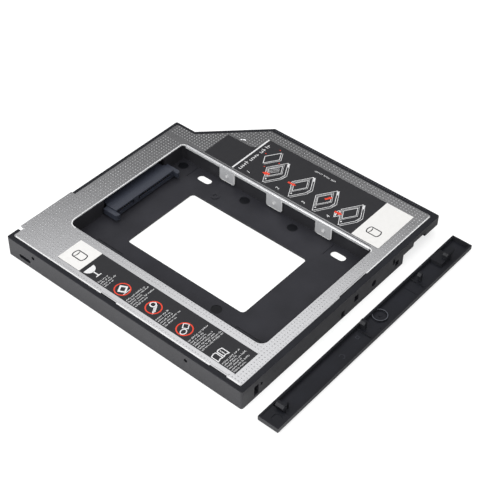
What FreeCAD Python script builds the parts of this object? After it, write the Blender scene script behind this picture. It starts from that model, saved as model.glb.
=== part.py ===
import FreeCAD, Part
import math
import os

# Slim drive caddy: it carries a 2.5 inch drive in the optical bay of a laptop.
# X runs across the bay, Y from the front face into the bay, Z up from the underside.
# The origin is on the middle of the front face's lower edge. All sizes are in millimetres.

V = FreeCAD.Vector

# The drive that the pocket takes
drive_width = 69.85
drive_length = 100.2
drive_screw_spacing = 61.72     # across the drive, between its two rows of bottom screws

# The frame's plan, from the left side to the right
left_bank = 22.0                # outer left face to the pocket
drive_side_gap = 0.2            # pocket wall to the drive, on the left
middle_bank = 9.4               # pocket to the step of the underside
shelf_width = 25.7              # the thin right-hand side

# The frame's plan, from the front to the rear
front_bank = 8.6                # front face to the pocket
plug_room = 4.6                 # the drive's end to the pocket's rear wall
rear_bank = 12.7                # pocket to the rear face
tail_length = 11.15             # rear face to the inner corner of the cut

# Heights
height = 9.5                    # underside to the top of the plate
shelf_thickness = 4.75          # the thin side, measured down from the plate's top
floor = 0.9
plate = 0.5                     # thickness of the sheet
plate_proud = 0.1               # the plate's top stands above the rim

# The frame's walls
wall = 1.2
rim_left = 2.1
rim_front = 2.5
rim_right = 2.7
rim_rear = 1.7
rim_cut = 1.9
rim_tail = 1.5                  # rim along the tail's right side
ledge = 1.2                     # the plate rests on this much of the outer wall
plate_gap = 0.1                 # the plate's edge to the rim
frame_corner = 1.0
rim_chamfer = 0.15
bank_ribs = 4
front_ribs = 5

# The pocket
pocket_corner = 1.5
window_width = 40.8
window_length = 63.5
window_front = 30.6             # front face to the window
window_corner = 1.8
slot_width = 3.8
slot_length = 7.3
slot_front_y = 22.4
slot_rear_y = 96.4
recess_length = 14.4
recess_front_y = 20.8
recess_rear_y = 96.8
recess_inboard = 3.6            # slot's centre line to the recess's inner edge
recess_depth = 0.25
mark_radius = 2.4               # round marks that the ejector pins leave
mark_depth = 0.25
mark_from_right = 4.2           # pocket's right wall to the middle of the marks beside it
mark_near = 38.8                # pocket's front wall to those marks
mark_far = 65.3
mark_from_rear = 3.5
mark_from_left = 9.5
mark_left_near = 31.4
boss_radius = 2.0
boss_hole_radius = 0.9
boss_height = 0.35
boss_from_wall = 10.6           # pocket's right wall to the boss
boss_from_slot = 11.1           # rear slot to the boss

# The plate's opening, fold and tabs
opening_lip = 0.3               # the plate overhangs the pocket on the left and at the front
opening_rear_lip = 0.5
opening_left_corner = 3.5
opening_right_corner = 1.6
fold_radius = 0.8               # outer radius of the fold
flange_depth = 1.5              # plate's top to the flange's lower edge
tab_relief = 0.35               # the tabs' backs to the pocket wall
tab_width = 8.6
tab_pitch = 26.6
tab_shift = -0.6                # the middle tab lies this far from the pocket's middle
tab_floor_gap = 0.9
tab_corner = 1.2
dimple_radius = 1.1
dimple_height = 0.35
dimple_above_floor = 4.1
plate_corner = 0.8
notch_depth = 1.0               # notches in the plate's edge, for the frame's catches
notch_gap = 0.15
side_notch_length = 8.4
side_notch_near_y = 13.6
side_notch_far_y = 70.1
front_notch_length = 17.9
front_notch_from_left = 70.7
tongue_proud = 0.4              # the plate's tongue passes the rear face
tongue_side_gap = 1.8
seat_dimple_radius = 2.4        # round dimple at the rear end of the steps label
seat_dimple_depth = 0.2
seat_dimple_from_rear = 8.3

# Holes in the front face, for the faceplate's hooks, its pin, the button and the light
end_latch_from_left = 8.2
end_latch_z = 4.0
end_latch_width = 2.5
end_latch_height = 4.8
pin_from_left = 11.2
pin_z = 5.1
pin_hole_radius = 0.7
middle_latch_from_left = 61.1
middle_latch_z = 2.2
middle_latch_width = 2.3
middle_latch_height = 3.4
light_from_left = 69.8
light_z = 4.8
light_width = 2.6
light_height = 3.0
button_from_left = 81.7
button_z = 4.1
button_hole_radius = 1.5
step_latch_from_step = 4.6
step_latch_z = 3.8
step_latch_width = 2.3
step_latch_height = 2.6
step_slot_from_step = 6.9
step_slot_z = 6.0
step_slot_width = 1.3
step_slot_height = 3.0
shelf_notch_width = 8.3
shelf_notch_height = 2.0        # above the underside of the thin side
shelf_notch_reach = 1.35        # how far its open underside goes in
shelf_notch_from_right = 14.4   # outer right face to the notch's middle

# Holes in the side and the tail
side_hole_radius = 0.85
side_hole_z = 6.5
side_hole_near_y = 27.7
side_hole_far_y = 110.8
side_slot_y = 116.1
side_slot_z = 3.1
side_slot_length = 6.6
side_slot_width = 1.8
tail_hole_radius = 0.8
tail_hole_spacing = 9.5
tail_hole_inset = 4.3           # tail's right side to the nearer hole
tail_hole_z = 4.5

# The socket for the drive
ways_shift = 3.8                # the drive's middle to the middle of the socket's row of ways
slit_end_room = 0.75            # last way to the slit's end or its key
socket_left_wall = 0.7          # slit to the socket's end
socket_right_wall = 1.7
socket_depth = 5.6
socket_bottom = 1.9
socket_wall_gap = 0.8           # the socket's back to the pocket's rear wall
arm_width = 2.1
arm_reach = 2.4                 # the guide arms pass the socket's face
arm_bottom = 2.2
arm_drop = 0.7                  # socket's top to the arms' top
roof_drop = 0.2                 # socket's top to the roof behind it
roof_play = 0.3                 # the roof to the niche's rear wall
roof_clearance = 0.8            # contacts' tails to the roof over them
cavity_height = 1.3             # the slit that takes the drive's tongue
cavity_roof = 0.7
cavity_depth = 4.4
key_width = 1.0
key_drop = 0.8
signal_ways = 7
power_ways = 15
blank_ways = 4                  # between the two groups
socket_pitch = 1.27
niche_setback = 3.4
niche_side_gap = 0.9

# The circuit board
board = 1.0                     # thickness
board_height = 2.4              # underside of the frame to the board
board_gap = 0.25
board_left_gap = 1.7            # rear compartment's left end to the board
board_right = 4.9               # the board's end, right of the socket
socket_tongue_inset = 0.6       # socket's end to the board's tongue behind it
screw_head_radius = 1.6
screw_head = 0.9
screw_radius = 0.65
screw_cross = 0.45              # width of the recess's arms
screw_length = 2.4
screw_clearance = 0.25
screw_boss_radius = 1.9
screw_y_inset = 5.9             # rear face to the screws
board_screw_gap = 3.2           # bay plug's end to the left screw
board_screw_inset = 2.85        # board's right end to the other screw
cap_length = 3.2
cap_width = 1.6
cap_height = 1.3
chip_from_screw = 5.0
chip_spacing = 5.5
chip_chamfer = 0.08
resistor_length = 1.6
resistor_width = 0.8
resistor_height = 0.5

# The plug for the laptop's bay
bay_gap_from_left = 6.2         # outer left face to the gap in the rear rim
bay_gap_width = 30.6
bay_gap_below_board = 0.1
plug_width = 26.6
plug_height = 4.2
plug_back = 2.4                 # solid block behind the blade
plug_depth = 7.5
plug_set_in = 0.2
plug_end = 2.0
plug_skin = 0.7
blade = 1.2                     # thickness of the plug's two blades
signal_blade = 9.6
power_blade = 7.4
blade_set_in = 1.0
bay_signal_ways = 7
bay_power_ways = 6
bay_signal_pitch = 1.27
bay_power_pitch = 1.0

# Contacts
contact_width = 0.5
contact = 0.2                   # thickness of the contact strip
contact_bow = 0.25
contact_set_back = 0.5          # socket's face to the contact's end
tail_reach = 1.4                # how far a tail lies on the board

# Labels
label = 0.12
print_layer = 0.04
care_label_from_left = 5.3
care_label_width = 13.0
care_label_front = 7.8
care_label_length = 93.8
care_panel_length = 12.2
steps_label_side_gap = 1.3      # pocket's right wall to the label
steps_label_width = 25.4
steps_label_front = 7.5
steps_label_wide_length = 78.0
steps_label_length = 94.6
steps_label_narrow = 16.2
steps_label_bite = 5.0
steps_panel_length = 13.7

# The faceplate, laid in front of the caddy with its inner side up
bezel_gap = 7.5
bezel_thickness = 2.8
bezel_skin = 1.0
bezel_lip = 0.8
bezel_round = 0.9
bezel_step_length = 7.5         # raised floor at the left end
bezel_step_drop = 0.3
bezel_dip_inset = 1.6           # shallow dip in the raised floor
bezel_dip_depth = 0.25
hook_height = 4.2
hook = 1.2                      # thickness of the hooks
hook_nose = 0.95
hook_play = 0.5                 # the hooks' sides to their holes
bezel_rib = 0.5
bezel_rib_height = 0.6
rib_from_hook = 0.9
rib_length = 7.3
line_from_rib = 5.4             # low rib left of the one at the step
pin_play = 0.3
pin_height = 3.5
ring_from_left = 71.0
ring_z = 3.4
ring_outer = 3.3
ring_inner = 2.85
ring_height = 0.8
pip_radius = 0.5
stub_from_left = 65.2           # stub on the near lip
stub_radius = 0.8
pad_play = 0.6                  # pad at the thin side to the frame's notch
pad_length = 6.3
pad_drop = 0.15
wedge_width = 2.2
wedge_reach = 4.6               # the last hook's nose
wedge_nose = 0.8

# Places that follow from the sizes
pocket_width = drive_side_gap + drive_width + plate + tab_relief
pocket_length = drive_length + plug_room
width = left_bank + pocket_width + middle_bank + shelf_width
depth = front_bank + pocket_length + rear_bank
left_x = -width / 2
right_x = width / 2
step_x = right_x - shelf_width
pocket_x0 = left_x + left_bank
pocket_x1 = pocket_x0 + pocket_width
pocket_y0 = front_bank
pocket_y1 = front_bank + pocket_length
drive_x = pocket_x0 + drive_side_gap + drive_width / 2
fold_x = drive_x + drive_width / 2
cut_y1 = depth - tail_length
cut_y0 = cut_y1 - shelf_width
rim_z = height - plate_proud
seat_z = height - plate
shelf_z = height - shelf_thickness
over = 1.0                      # cutters pass the face they cut by this much
front_wall = rim_front + ledge
left_wall = rim_left + ledge
rear_wall = rim_rear + ledge
rear_y = depth - rear_wall
row_ways = signal_ways + blank_ways + power_ways
first_way_x = drive_x + ways_shift - (row_ways - 1) / 2 * socket_pitch
last_way_x = first_way_x + (row_ways - 1) * socket_pitch
socket_x0 = first_way_x - slit_end_room - socket_left_wall
socket_x1 = last_way_x + slit_end_room + socket_right_wall
socket_back = pocket_y1 - socket_wall_gap
socket_face = socket_back - socket_depth
board_bottom = board_height
board_top = board_bottom + board
cavity_z0 = board_top + contact
cavity_z1 = cavity_z0 + cavity_height
socket_top = cavity_z1 + cavity_roof
arm_top = socket_top - arm_drop
niche_x0 = socket_x0 - niche_side_gap
niche_x1 = socket_x1 + niche_side_gap
niche_y1 = pocket_y1 + niche_setback
gap_x0 = left_x + bay_gap_from_left
gap_x1 = gap_x0 + bay_gap_width
plug_x = (gap_x0 + gap_x1) / 2
plug_y1 = depth - plug_set_in
plug_y0 = plug_y1 - plug_depth
bezel_y1 = -bezel_gap
bezel_y0 = bezel_y1 - height


# Building blocks

def block(x0, x1, y0, y1, z0, z1):
    return Part.makeBox(x1 - x0, y1 - y0, z1 - z0, V(x0, y0, z0))


def post(x, y, z0, z1, radius):
    return Part.makeCylinder(radius, z1 - z0, V(x, y, z0), V(0, 0, 1))


def drill(start, along, length, radius):
    return Part.makeCylinder(radius, length, start, along)


def prism(points, z0, z1):
    loop = [V(x, y, z0) for x, y in points]
    wire = Part.makePolygon(loop + loop[:1])
    return Part.Face(wire).extrude(V(0, 0, z1 - z0))


def upright_edges(shape, x, y):
    found = []
    for edge in shape.Edges:
        ends = [vertex.Point for vertex in edge.Vertexes]
        at_corner = all(math.hypot(p.x - x, p.y - y) < 0.01 for p in ends)
        if at_corner and abs(ends[0].z - ends[-1].z) > 0.01:
            found.append(edge)
    return found


def round_corners(shape, corners, radius):
    edges = []
    for x, y in corners:
        edges += upright_edges(shape, x, y)
    return shape.makeFillet(radius, edges)


def rounded_block(x0, x1, y0, y1, z0, z1, radius):
    return round_corners(block(x0, x1, y0, y1, z0, z1), [(x0, y0), (x1, y0), (x1, y1), (x0, y1)], radius)


def slot_along_y(x, y, z0, z1, length, wide):
    radius = wide / 2
    reach = length / 2 - radius
    body = block(x - radius, x + radius, y - reach, y + reach, z0, z1)
    return body.multiFuse([post(x, y - reach, z0, z1, radius), post(x, y + reach, z0, z1, radius)])


def outline(left, front, right, rear, cut, tail):
    # The caddy's plan, drawn in from each side by its own amount
    x0 = left_x + left
    x1 = right_x - right
    xt = step_x - tail
    y0 = front
    y1 = depth - rear
    slope = right_x + cut_y0 - cut * math.sqrt(2)
    return [(x0, y0), (x1, y0), (x1, slope - x1), (xt, slope - xt), (xt, y1), (x0, y1)]


def spread(start, stop, count):
    # Evenly spaced places between two ends, ends left out
    step = (stop - start) / (count + 1)
    return [start + step * (i + 1) for i in range(count)]


# The moulded frame

def frame_shell():
    corners = outline(0, 0, 0, 0, 0, 0)
    solid = prism(corners, 0, rim_z)
    solid = round_corners(solid, [corners[i] for i in (0, 1, 2, 4, 5)], frame_corner)
    solid = solid.cut(block(step_x, right_x + over, -over, depth + over, -over, shelf_z))
    top = [edge for edge in solid.Edges if all(abs(v.Point.z - rim_z) < 0.01 for v in edge.Vertexes)]
    return solid.makeChamfer(rim_chamfer, top)


def frame_interior():
    inside = outline(left_wall, front_wall, rim_right + ledge, rear_wall, rim_cut + ledge, rim_tail + ledge)
    high = prism(inside, shelf_z + floor, rim_z + over)
    deep = prism(inside, floor, shelf_z + floor + over)
    return high.fuse(deep.common(block(left_x, step_x - wall, 0, depth, 0, rim_z)))


def pocket_walls():
    ring = block(pocket_x0 - wall, pocket_x1 + wall, pocket_y0 - wall, pocket_y1 + wall, floor / 2, seat_z)
    niche = block(niche_x0 - wall, niche_x1 + wall, pocket_y1, niche_y1 + wall, floor / 2, seat_z)
    return ring.fuse(niche)


def pocket_space():
    space = rounded_block(pocket_x0, pocket_x1, pocket_y0, pocket_y1, floor, rim_z + over, pocket_corner)
    niche = block(niche_x0, niche_x1, pocket_y1 - over, niche_y1, floor, rim_z + over)
    pass_under = block(niche_x0 - wall - board_gap, niche_x1 + wall + board_gap, pocket_y1 + wall,
                       niche_y1 + wall + board_gap, floor, board_top + wall)
    return space.multiFuse([niche, pass_under])


def frame_ribs():
    ribs = []
    half = wall / 2
    for y in spread(pocket_y0, pocket_y1, bank_ribs):
        ribs.append(block(left_x + rim_left, pocket_x0 - half, y - half, y + half, floor / 2, seat_z))
        ribs.append(block(pocket_x1 + half, step_x - half, y - half, y + half, floor / 2, seat_z))
        ribs.append(block(step_x - wall, right_x - rim_right, y - half, y + half,
                          shelf_z + floor / 2, seat_z))
    for x in spread(pocket_x0, pocket_x1, front_ribs):
        ribs.append(block(x - half, x + half, rim_front, pocket_y0 - half, floor / 2, seat_z))
    web = ribs[0].multiFuse(ribs[1:])
    return web.common(prism(outline(rim_left, rim_front, rim_right, rim_rear, rim_cut, rim_tail), 0, seat_z))


def board_seats():
    pad = block(left_x + rim_left, left_x + left_wall + board_left_gap + wall, pocket_y1 + 2 * wall,
                rear_y - wall, floor / 2, board_bottom)
    bosses = [post(x, depth - screw_y_inset, floor / 2, board_bottom, screw_boss_radius)
              for x in screw_places()]
    return pad.multiFuse(bosses)


def catches():
    # Noses of the rim that fill the plate's notches and hold it down
    reach = notch_depth - notch_gap
    side = side_notch_length / 2 - notch_gap
    front = front_notch_length / 2 - notch_gap
    front_x = left_x + front_notch_from_left
    x = left_x + rim_left
    noses = [block(x - over, x + reach, y - side, y + side, seat_z - over, rim_z)
             for y in (side_notch_near_y, side_notch_far_y)]
    noses.append(block(front_x - front, front_x + front, rim_front - over, rim_front + reach,
                       seat_z - over, rim_z))
    return noses


def floor_cuts():
    cuts = [rounded_block(drive_x - window_width / 2, drive_x + window_width / 2, window_front,
                          window_front + window_length, -over, floor + over, window_corner)]
    half = recess_length / 2
    rows = ((slot_front_y, recess_front_y), (slot_rear_y, recess_rear_y))
    for side, end in ((-1, pocket_x0), (1, pocket_x1)):
        x = drive_x + side * drive_screw_spacing / 2
        inner = x - side * recess_inboard
        for slot_y, recess_y in rows:
            cuts.append(slot_along_y(x, slot_y, -over, floor + over, slot_length, slot_width))
            cuts.append(block(min(inner, end), max(inner, end), recess_y - half, recess_y + half,
                              floor - recess_depth, floor + over))
    return cuts


def pin_marks():
    right = pocket_x1 - mark_from_right
    left = pocket_x0 + mark_from_left
    places = [(right, pocket_y0 + mark_near), (right, pocket_y0 + mark_far),
              (right, pocket_y1 - mark_from_rear), (left, pocket_y0 + mark_left_near)]
    return [post(x, y, floor - mark_depth, floor + over, mark_radius) for x, y in places]


def face_hole(x, z, wide, tall):
    return block(x - wide / 2, x + wide / 2, -over, front_wall + over / 2, z - tall / 2, z + tall / 2)


def face_bore(x, z, radius):
    return drill(V(x, -over, z), V(0, 1, 0), front_wall + 1.5 * over, radius)


def latch_places():
    # The holes that the faceplate's hooks go into: x, z, width and height
    return [(left_x + end_latch_from_left, end_latch_z, end_latch_width, end_latch_height),
            (left_x + middle_latch_from_left, middle_latch_z, middle_latch_width, middle_latch_height),
            (step_x - step_latch_from_step, step_latch_z, step_latch_width, step_latch_height)]


def front_face_holes():
    cuts = [face_hole(*place) for place in latch_places()]
    cuts.append(face_hole(left_x + light_from_left, light_z, light_width, light_height))
    cuts.append(face_hole(step_x - step_slot_from_step, step_slot_z, step_slot_width, step_slot_height))
    cuts.append(face_bore(left_x + pin_from_left, pin_z, pin_hole_radius))
    cuts.append(face_bore(left_x + button_from_left, button_z, button_hole_radius))
    x = right_x - shelf_notch_from_right
    half = shelf_notch_width / 2
    cuts.append(block(x - half, x + half, -over, shelf_notch_reach, shelf_z - over,
                      shelf_z + shelf_notch_height))
    cuts.append(block(x - half, x + half, -over, front_wall + over / 2, shelf_z + floor,
                      shelf_z + shelf_notch_height))
    return cuts


def side_and_tail_holes():
    cuts = [drill(V(left_x - over, y, side_hole_z), V(1, 0, 0), left_wall + 1.5 * over, side_hole_radius)
            for y in (side_hole_near_y, side_hole_far_y)]
    radius = side_slot_width / 2
    reach = side_slot_length / 2 - radius
    y = side_slot_y
    cuts.append(block(left_x - over, left_x + left_wall + over / 2, y - reach, y + reach,
                      side_slot_z - radius, side_slot_z + radius))
    for end in (y - reach, y + reach):
        cuts.append(drill(V(left_x - over, end, side_slot_z), V(1, 0, 0), left_wall + 1.5 * over, radius))
    for i in range(2):
        x = step_x - tail_hole_inset - i * tail_hole_spacing
        cuts.append(drill(V(x, rear_y - over / 2, tail_hole_z), V(0, 1, 0), rear_wall + 1.5 * over,
                          tail_hole_radius))
    return cuts


def base_frame():
    seat = prism(outline(rim_left, rim_front, rim_right, rim_rear, rim_cut, rim_tail), seat_z, rim_z + over)
    frame = frame_shell().cut(seat.fuse(frame_interior()))
    frame = frame.multiFuse([pocket_walls(), frame_ribs()]).cut(pocket_space())
    frame = frame.multiFuse([board_seats()] + catches())
    bay_gap = block(gap_x0, gap_x1, rear_y - over / 2, depth + over, board_bottom - bay_gap_below_board,
                    rim_z + over)
    pilots = [post(x, depth - screw_y_inset, floor, board_bottom + over, screw_radius)
              for x in screw_places()]
    cuts = [bay_gap] + pilots + floor_cuts() + pin_marks()
    cuts += front_face_holes() + side_and_tail_holes()
    frame = frame.cut(cuts[0].multiFuse(cuts[1:]))
    boss_x = pocket_x1 - boss_from_wall
    boss_y = slot_rear_y - boss_from_slot
    boss = post(boss_x, boss_y, floor / 2, floor + boss_height, boss_radius)
    pin = post(boss_x, boss_y, floor, floor + boss_height + over, boss_hole_radius)
    return frame.fuse(boss).cut(pin).removeSplitter()


# The stamped and folded plate

def plate_sheet():
    g = plate_gap
    corners = outline(rim_left + g, rim_front + g, rim_right + g, rim_rear + g, rim_cut + g, rim_tail + g)
    sheet = prism(corners, seat_z, height)
    sheet = round_corners(sheet, [corners[i] for i in (0, 1, 4, 5)], plate_corner)
    tongue = block(gap_x0 + tongue_side_gap, gap_x1 - plate_gap, rear_y, depth + tongue_proud, seat_z, height)
    return sheet.fuse(tongue)


def opening_bounds():
    return (pocket_x0 + opening_lip, fold_x, pocket_y0 + opening_lip, pocket_y1 - opening_rear_lip)


def fold_ends():
    x0, x1, y0, y1 = opening_bounds()
    return y0 + opening_right_corner, y1 - opening_right_corner


def plate_opening():
    # The hole, and beside it the strip that is bent down
    x0, x1, y0, y1 = opening_bounds()
    hole = block(x0, x1, y0, y1, seat_z - over, height + over)
    hole = round_corners(hole, [(x0, y0), (x0, y1)], opening_left_corner)
    hole = round_corners(hole, [(x1, y0), (x1, y1)], opening_right_corner)
    start, end = fold_ends()
    strip = block(x1 - opening_right_corner, x1 + fold_radius, start, end, seat_z - over, height + over)
    return hole.fuse(strip)


def plate_notches():
    x = left_x + rim_left
    front_x = left_x + front_notch_from_left
    half = side_notch_length / 2
    cuts = [block(x - over, x + notch_depth, y - half, y + half, seat_z - over, height + over)
            for y in (side_notch_near_y, side_notch_far_y)]
    half = front_notch_length / 2
    cuts.append(block(front_x - half, front_x + half, rim_front - over, rim_front + notch_depth,
                      seat_z - over, height + over))
    return cuts


def fold():
    # Quarter bend and short flange along the opening's right edge
    y0, y1 = fold_ends()
    centre = V(fold_x + fold_radius, y0, height - fold_radius)
    outer = drill(centre, V(0, 1, 0), y1 - y0, fold_radius)
    bend = outer.cut(drill(centre, V(0, 1, 0), y1 - y0, fold_radius - plate))
    quarter = block(fold_x, fold_x + fold_radius, y0, y1, height - fold_radius, height)
    flange = block(fold_x, fold_x + plate, y0, y1, height - flange_depth, height - fold_radius)
    return bend.common(quarter).fuse(flange)


def tab(y):
    z0 = floor + tab_floor_gap
    z1 = height - fold_radius
    half = tab_width / 2
    sheet = block(fold_x, fold_x + plate, y - half, y + half, z0, z1)
    lower = []
    for edge in sheet.Edges:
        across = abs(edge.Vertexes[0].Point.x - edge.Vertexes[-1].Point.x) > 0.01
        if across and all(abs(v.Point.z - z0) < 0.01 for v in edge.Vertexes):
            lower.append(edge)
    sheet = sheet.makeFillet(tab_corner, lower)
    # A shallow dome that the punch presses through the sheet
    ball = (dimple_radius ** 2 + dimple_height ** 2) / (2 * dimple_height)
    z = floor + dimple_above_floor
    dome = Part.makeSphere(ball, V(fold_x - dimple_height + ball, y, z))
    dent = Part.makeSphere(ball, V(fold_x - dimple_height + ball + plate, y, z))
    half_space = block(fold_x - over, fold_x + plate, y - half, y + half, z0, z1)
    return sheet.fuse(dome.common(half_space)).cut(dent)


def top_plate():
    middle = (pocket_y0 + pocket_y1) / 2 + tab_shift
    tabs = [tab(middle + i * tab_pitch) for i in (-1, 0, 1)]
    cuts = [plate_opening()] + plate_notches()
    sheet = plate_sheet().cut(cuts[0].multiFuse(cuts[1:]))
    dimple = Part.makeCone(seat_dimple_radius - seat_dimple_depth, seat_dimple_radius, seat_dimple_depth,
                           V(steps_x0() + steps_label_narrow, steps_y1() - seat_dimple_from_rear,
                             height - seat_dimple_depth))
    return sheet.cut(dimple).multiFuse([fold()] + tabs).removeSplitter()


# The drive's socket and its contacts

def socket_ways():
    # One row at the standard pitch: the signal group, some blanks and the power group
    row = [first_way_x + i * socket_pitch for i in range(row_ways)]
    return row[:signal_ways], row[signal_ways + blank_ways:]


def cavities():
    # Each slit's two ends and its key's left side: the keys are next to each other
    signal, power = socket_ways()
    signal_end = signal[-1] + slit_end_room
    power_start = power[0] - slit_end_room - key_width
    return [(signal[0] - slit_end_room, signal_end + key_width, signal_end),
            (power_start, power[-1] + slit_end_room, power_start)]


def ways(start, wide, count, pitch):
    middle = start + wide / 2
    return [middle + (i - (count - 1) / 2) * pitch for i in range(count)]


def socket_arm(inner, side):
    outer = inner + side * arm_width
    x0, x1 = min(inner, outer), max(inner, outer)
    y0 = socket_face - arm_reach
    arm = block(x0, x1, y0, socket_back, arm_bottom, arm_top)
    return round_corners(arm, [(outer, y0)], arm_width * 0.7)


def drive_connector_body():
    body = block(socket_x0, socket_x1, socket_face, socket_back, socket_bottom, socket_top)
    roof = block(socket_x0 + socket_tongue_inset, socket_x1 - socket_tongue_inset, socket_back - over / 2,
                 niche_y1 - roof_play, board_top + contact + roof_clearance, socket_top - roof_drop)
    body = body.multiFuse([socket_arm(socket_x0, -1), socket_arm(socket_x1, 1), roof])
    cuts = []
    for x0, x1, key_x in cavities():
        cuts.append(block(x0, x1, socket_face - over, socket_face + cavity_depth, cavity_z0, cavity_z1))
        cuts.append(block(key_x, key_x + key_width, socket_face - over, socket_face + cavity_depth,
                          cavity_z0 - key_drop, cavity_z1))
    half = contact_width / 2
    for x in sum(socket_ways(), []):
        cuts.append(block(x - half, x + half, socket_face + contact_set_back, socket_back + over,
                          cavity_z0 - contact, cavity_z0))
    return body.cut(cuts[0].multiFuse(cuts[1:])).removeSplitter()


def socket_contact(x):
    # A strip on the slit's lower wall, bowed up to meet the drive, with its tail on the board
    z0 = cavity_z0 - contact
    z1 = cavity_z0
    y0 = socket_face + contact_set_back
    y1 = socket_face + cavity_depth
    tail = socket_back + tail_reach
    bow = y0 + (y1 - y0) / 3
    profile = [(y0, z0), (tail, z0), (tail, z1), (y1, z1), (bow + contact, z1 + contact_bow),
               (bow, z1 + contact_bow), (y0, z1)]
    loop = [V(x - contact_width / 2, y, z) for y, z in profile]
    return Part.Face(Part.makePolygon(loop + loop[:1])).extrude(V(contact_width, 0, 0))


# The board and what is on it

def board_ends():
    return left_x + left_wall + board_left_gap, socket_x1 + board_right


def screw_places():
    return [plug_x + plug_width / 2 + board_screw_gap, board_ends()[1] - board_screw_inset]


def circuit_board():
    x0, x1 = board_ends()
    y0 = pocket_y1 + wall + board_gap
    y1 = rear_y - board_gap
    main = block(x0, x1, y0, y1, board_bottom, board_top)
    side = niche_side_gap + socket_tongue_inset
    tongue = block(niche_x0 + side, niche_x1 - side, socket_back, y0 + over, board_bottom, board_top)
    radius = screw_radius + screw_clearance
    holes = [post(x, depth - screw_y_inset, board_bottom - over, board_top + over, radius)
             for x in screw_places()]
    return main.fuse(tongue).cut(holes[0].fuse(holes[1])).removeSplitter()


def board_screw(x):
    y = depth - screw_y_inset
    head = post(x, y, board_top, board_top + screw_head, screw_head_radius)
    rim = [edge for edge in head.Edges if all(v.Point.z > board_top + screw_head / 2 for v in edge.Vertexes)]
    head = head.makeFillet(screw_head / 3, [edge for edge in rim if len(edge.Vertexes) == 1])
    shank = post(x, y, board_top - screw_length, board_top, screw_radius)
    arm = screw_head_radius * 0.55
    bar = screw_cross / 2
    z0 = board_top + screw_head / 2
    z1 = board_top + screw_head + over
    across = block(x - arm, x + arm, y - bar, y + bar, z0, z1)
    along = block(x - bar, x + bar, y - arm, y + arm, z0, z1)
    return head.fuse(shank).cut(across.fuse(along)).removeSplitter()


def chip(x, y, long, wide, tall):
    body = block(x - long / 2, x + long / 2, y - wide / 2, y + wide / 2, board_top, board_top + tall)
    top = [edge for edge in body.Edges if all(v.Point.z > board_top + tall / 2 for v in edge.Vertexes)]
    return body.makeChamfer(chip_chamfer, top)


# The bay plug and its contacts

def blades():
    # The left ends of the two blades and their widths, signal first
    inner = plug_width - 2 * plug_end
    start = plug_x - plug_width / 2 + plug_end
    return [(start + 0.6, signal_blade), (start + inner - 0.6 - power_blade, power_blade)]


def blade_z():
    return board_top + plug_height / 2 - blade / 2


def bay_ways():
    signal, power = blades()
    return (ways(signal[0], signal[1], bay_signal_ways, bay_signal_pitch),
            ways(power[0], power[1], bay_power_ways, bay_power_pitch))


def bay_connector_body():
    x0 = plug_x - plug_width / 2
    x1 = plug_x + plug_width / 2
    z1 = board_top + plug_height
    body = block(x0, x1, plug_y0, plug_y1, board_top, z1)
    mouth = block(x0 + plug_end, x1 - plug_end, plug_y0 + plug_back, plug_y1 + over, board_top + plug_skin,
                  z1 - plug_skin)
    mouth = mouth.fuse(block(x0 + plug_end, x1 - plug_end, plug_y0 + plug_back, plug_y1 + over,
                             z1 - plug_skin - over / 2, z1 + over))
    body = body.cut(mouth)
    for start, wide in blades():
        body = body.fuse(block(start, start + wide, plug_y0 + plug_back - over, plug_y1 - blade_set_in,
                               blade_z(), blade_z() + blade))
        body = body.fuse(block(start, start + key_width, plug_y0 + plug_back - over, plug_y1 - blade_set_in,
                               blade_z() - key_drop, blade_z() + blade / 2))
    half = contact_width / 2
    grooves = []
    for x in sum(bay_ways(), []):
        top = blade_z() + blade
        grooves.append(block(x - half, x + half, plug_y0 - over, plug_y1 - blade_set_in - contact,
                             top - contact, top))
        grooves.append(block(x - half, x + half, plug_y0 - over, plug_y0 + contact, board_top - over, top))
    return body.cut(grooves[0].multiFuse(grooves[1:])).removeSplitter()


def bay_contact(x):
    # A strip on the blade's top that turns down behind the block to its tail on the board
    top = blade_z() + blade
    front = plug_y1 - blade_set_in - contact
    back = plug_y0
    profile = [(front, top), (front, top - contact), (back + contact, top - contact),
               (back + contact, board_top), (back - tail_reach / 2, board_top),
               (back - tail_reach / 2, board_top + contact),
               (back, board_top + contact), (back, top)]
    loop = [V(x - contact_width / 2, y, z) for y, z in profile]
    return Part.Face(Part.makePolygon(loop + loop[:1])).extrude(V(contact_width, 0, 0))


# Labels

def care_label(length_from, length_to, z0, z1):
    x0 = left_x + care_label_from_left
    y0 = care_label_front
    return block(x0, x0 + care_label_width, y0 + length_from, y0 + length_to, z0, z1)


def steps_x0():
    return pocket_x1 + steps_label_side_gap


def steps_y1():
    return steps_label_front + steps_label_length


def steps_label():
    x0 = steps_x0()
    x1 = x0 + steps_label_width
    xn = x0 + steps_label_narrow
    y0 = steps_label_front
    yw = y0 + steps_label_wide_length
    sheet = prism([(x0, y0), (x1, y0), (x1, yw), (xn, yw), (xn, steps_y1()), (x0, steps_y1())],
                  height, height + label)
    return round_corners(sheet, [(xn, yw)], steps_label_bite)


def steps_panel():
    x0 = steps_x0()
    return block(x0, x0 + steps_label_width, steps_label_front, steps_label_front + steps_panel_length,
                 height + label, height + label + print_layer)


# The faceplate

def facing(z):
    # Where a height on the frame's front face comes to lie on the faceplate, laid flat before it
    return bezel_y1 - z


def profile_along_y(points, x, y, wide):
    loop = [V(x + u, y - wide / 2, z) for u, z in points]
    return Part.Face(Part.makePolygon(loop + loop[:1])).extrude(V(0, wide, 0))


def bezel_hook(x, z, hole_width, hole_height):
    # An upright leaf with a sloped nose on its left, as wide as its hole in the frame allows
    top = bezel_skin + hook_height
    root = bezel_skin / 2
    back = (hook + hook_nose) / 2
    leaf = back - hook
    profile = [(back, root), (leaf, root), (leaf, top - hook_nose), (-back, top - hook_nose), (leaf, top),
               (back, top)]
    return profile_along_y(profile, x, facing(z), hole_height - 2 * hook_play)


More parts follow.
